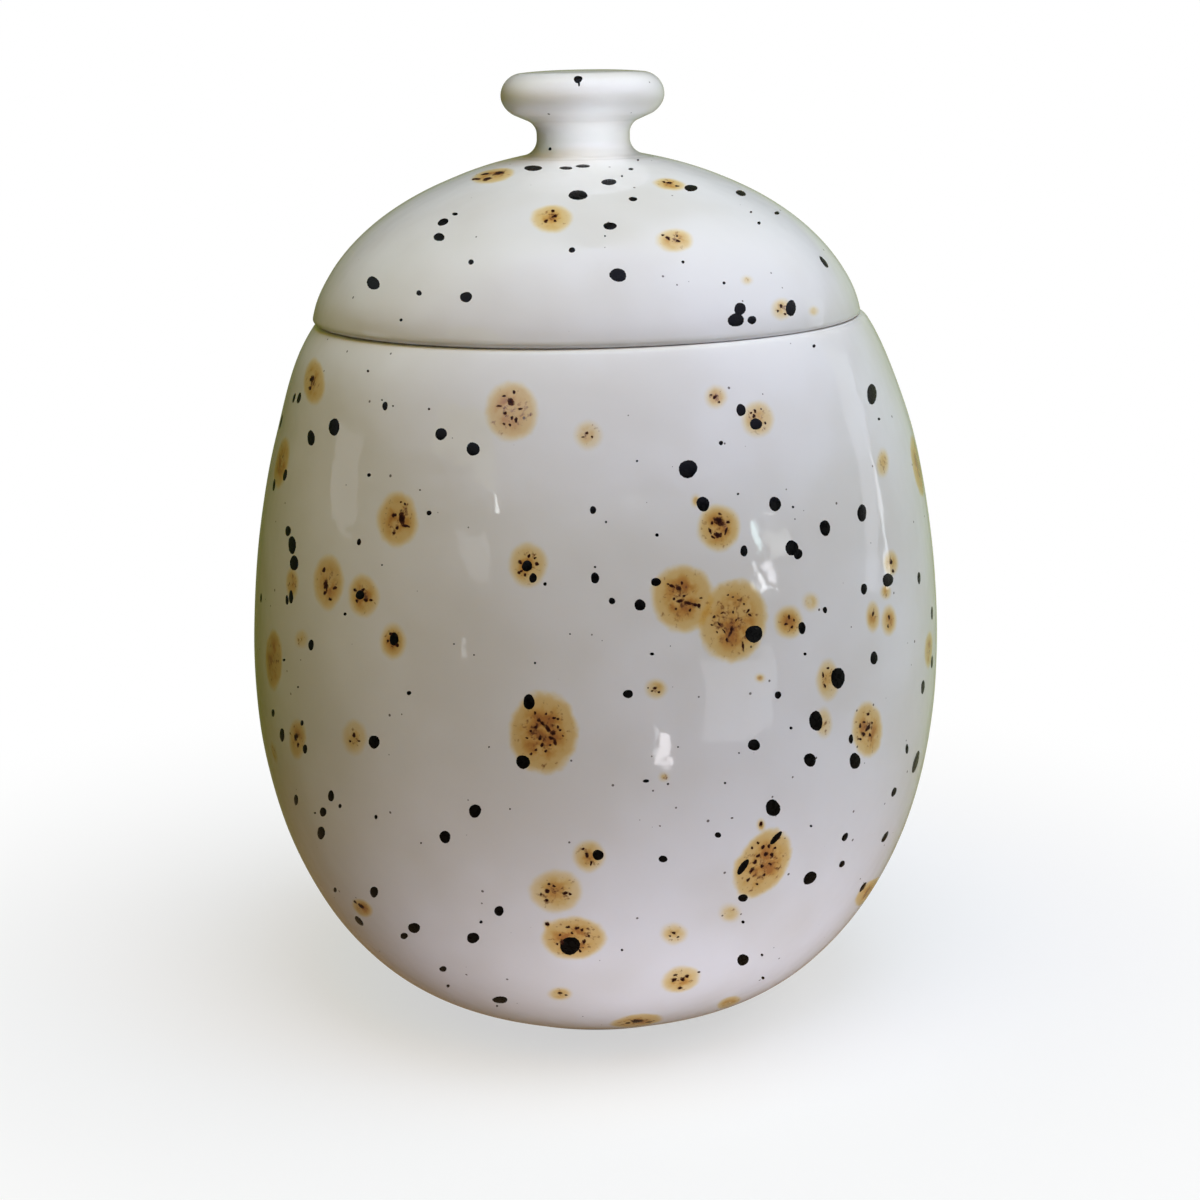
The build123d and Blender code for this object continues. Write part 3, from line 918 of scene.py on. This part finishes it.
def mirrored(piece, material):
    """Keeps a piece of the set out of sight, so that only the glaze mirrors it."""
    coated([piece], material)
    piece.visible_camera = False
    piece.visible_shadow = False
    piece.visible_diffuse = False


# The room that the glaze mirrors: dark low down in front, where the camera stands, pale green behind
# on the right, dark olive behind on the left, and bright above, where the windows are.
alone()
bpy.ops.mesh.primitive_uv_sphere_add(segments=48, ring_count=24, radius=1.2, location=(0, 0, 0))
walls = bpy.context.object
walls.name = "walls"
wall, wall_tree = new_finish("room_walls")
here = own_place(wall_tree)
round_room = node(wall_tree, "TexGradient", {"Vector": here}, gradient_type="RADIAL").outputs["Fac"]
height = node(wall_tree, "SeparateXYZ", {"Vector": here}).outputs[2]
low_tones = (
    (0.0, (0.20, 0.23, 0.15, 1)),
    (0.083, (0.12, 0.13, 0.08, 1)),
    (0.2, (0.05, 0.04, 0.02, 1)),
    (0.42, (0.05, 0.06, 0.05, 1)),
    (0.5, (0.28, 0.30, 0.26, 1)),
    (0.583, (0.52, 0.56, 0.42, 1)),
    (0.667, (0.42, 0.48, 0.26, 1)),
    (0.75, (0.20, 0.22, 0.09, 1)),
    (0.833, (0.08, 0.09, 0.01, 1)),
    (0.917, (0.12, 0.14, 0.05, 1)),
    (1.0, (0.20, 0.23, 0.15, 1)),
)
high_tones = (
    (0.0, (0.66, 0.72, 0.78, 1)),
    (0.1, (0.82, 0.88, 1.2, 1)),
    (0.4, (0.84, 0.88, 1.35, 1)),
    (0.5, (0.78, 0.80, 1.05, 1)),
    (0.6, (0.50, 0.51, 0.54, 1)),
    (0.667, (0.10, 0.11, 0.07, 1)),
    (0.84, (0.01, 0.01, 0.01, 1)),
    (0.917, (0.28, 0.33, 0.32, 1)),
    (1.0, (0.66, 0.72, 0.78, 1)),
)
warm_floor = (0.27, 0.18, 0.09, 1)
low, high = graded(wall_tree, round_room, low_tones), graded(wall_tree, round_room, high_tones)
tone = layered(wall_tree, ramped(wall_tree, height, 0.34, 0.54), low, high)
tone = layered(wall_tree, ramped(wall_tree, height, -0.2, -0.6), tone, warm_floor)
light = glowing(wall_tree, tone, ramped(wall_tree, height, 0.4, 0.8, 1.0, 2.0))
node(wall_tree, "OutputMaterial", {"Surface": light})
mirrored(walls, wall)


def pane(name, strength, corners, colour=(0.93, 0.97, 1, 1)):
    """A bright patch of the room, hung where the jar mirrors it to these corners of the view."""
    distance = 0.9
    new = disc(len(corners))
    new.name = name
    for vertex, (x, y) in zip(new.data.vertices, corners):
        _, place, facing = landing([jar, lid, knob], x, y)
        aim = (place - camera_place).normalized().reflect(facing)
        above_table = distance * place.z / max(-aim.z, 0.001)
        vertex.co = place + aim * min(distance, above_table)
    finish, tree = new_finish(name)
    node(tree, "OutputMaterial", {"Surface": glowing(tree, colour, strength)})
    mirrored(new, finish)


# The windows, broken up by the uneven glaze: a ragged group on the right, a patch low in front, a
# thin strip and a slit in the middle, long lines down the right, and dim patches on the left.
pane(
    "window_edge",
    9,
    [
        (755, 522), (758, 521), (762, 528), (764, 537), (764, 548), (762, 556), (760, 550),
        (757, 540), (756, 530),
    ],
    (0.75, 1, 1, 1),
)
pane("window_thread", 10, [(764, 546), (766, 551), (770, 559), (773, 563), (769, 562), (765, 555)])
pane(
    "window_bulb",
    9,
    [(765, 568), (767, 562), (772, 560), (775, 566), (776, 574), (773, 578), (768, 577), (765, 573)],
    (0.93, 0.93, 1, 1),
)
pane("window_chip", 9, [(752, 570), (756, 565), (758, 566), (756, 571), (756, 576), (753, 575)])
pane("window_splinter", 9, [(750, 580), (753, 581), (757, 585), (756, 586.5), (752, 583)])
pane("window_hook", 12, [(759, 582), (761, 581), (764, 586), (766, 593), (764, 595), (761, 590)])
pane(
    "window_shard",
    10,
    [(762, 583), (764, 583), (770, 589), (773, 585), (774, 588), (770, 592), (766, 590)],
)
pane("window_fleck", 6, [(749, 557), (751, 554), (753, 556), (751, 560)])
pane("window_top", 5, [(765, 513), (769, 511), (776, 516), (776, 519), (771, 518)])
pane("window_ring", 5, [(778, 549), (780, 546), (783, 549), (783, 553), (780, 555), (778, 552)])
pane(
    "window_haze",
    2.8,
    [(766, 530), (780, 525), (786, 535), (786, 545), (780, 557), (776, 562), (770, 550)],
    (0.95, 1, 0.95, 1),
)
pane(
    "window_low",
    9,
    [
        (660, 731), (664, 733), (672, 734), (670, 742), (674, 748), (674, 757), (670, 761),
        (661, 765), (657, 763), (658, 757), (661, 748), (660, 738),
    ],
    (1, 0.97, 1, 1),
)
pane("window_wedge", 6, [(649, 747), (658, 747), (662, 752), (658, 755), (652, 750)])
pane(
    "window_tail",
    3.5,
    [(652.5, 704), (654.5, 704), (655, 720), (657, 731), (655, 742), (653, 742), (653, 722)],
)
pane(
    "window_strip",
    15,
    [
        (614.5, 506), (617, 504.5), (622, 503.6), (632, 503.2), (642, 502.2), (642, 503.8),
        (632, 504.8), (622, 505.6), (617, 507.5),
    ],
)
pane("window_slit", 10, [(495, 488), (498, 490), (501, 502), (501, 516), (497, 516), (496, 502)])
pane("window_glint", 12, [(723, 520), (727, 521), (727, 527), (724, 528)])
pane("window_drop", 6, [(770, 645), (774, 640), (774, 655), (770, 660)])
pane("sill", 1.2, [(702, 655), (772, 650), (775, 728), (735, 735), (700, 742), (706, 700)])
pane("frame_side", 1.3, [(822, 350), (846, 352), (872, 450), (878, 590), (868, 590), (856, 450)])
pane("frame_line", 3, [(866, 440), (869, 440), (890, 560), (892, 590), (889, 590), (884, 540)])
pane("far_left", 0.9, [(338, 427), (362, 436), (358, 500), (350, 540), (330, 520), (334, 460)])
pane("far_middle", 1.6, [(440, 405), (478, 410), (496, 440), (497, 492), (470, 470), (430, 455)])
pane("far_low", 1.0, [(455, 528), (492, 530), (493, 592), (474, 588), (462, 560)])
pane("far_drop", 2.5, [(457, 640), (464, 646), (466, 662), (461, 660)])
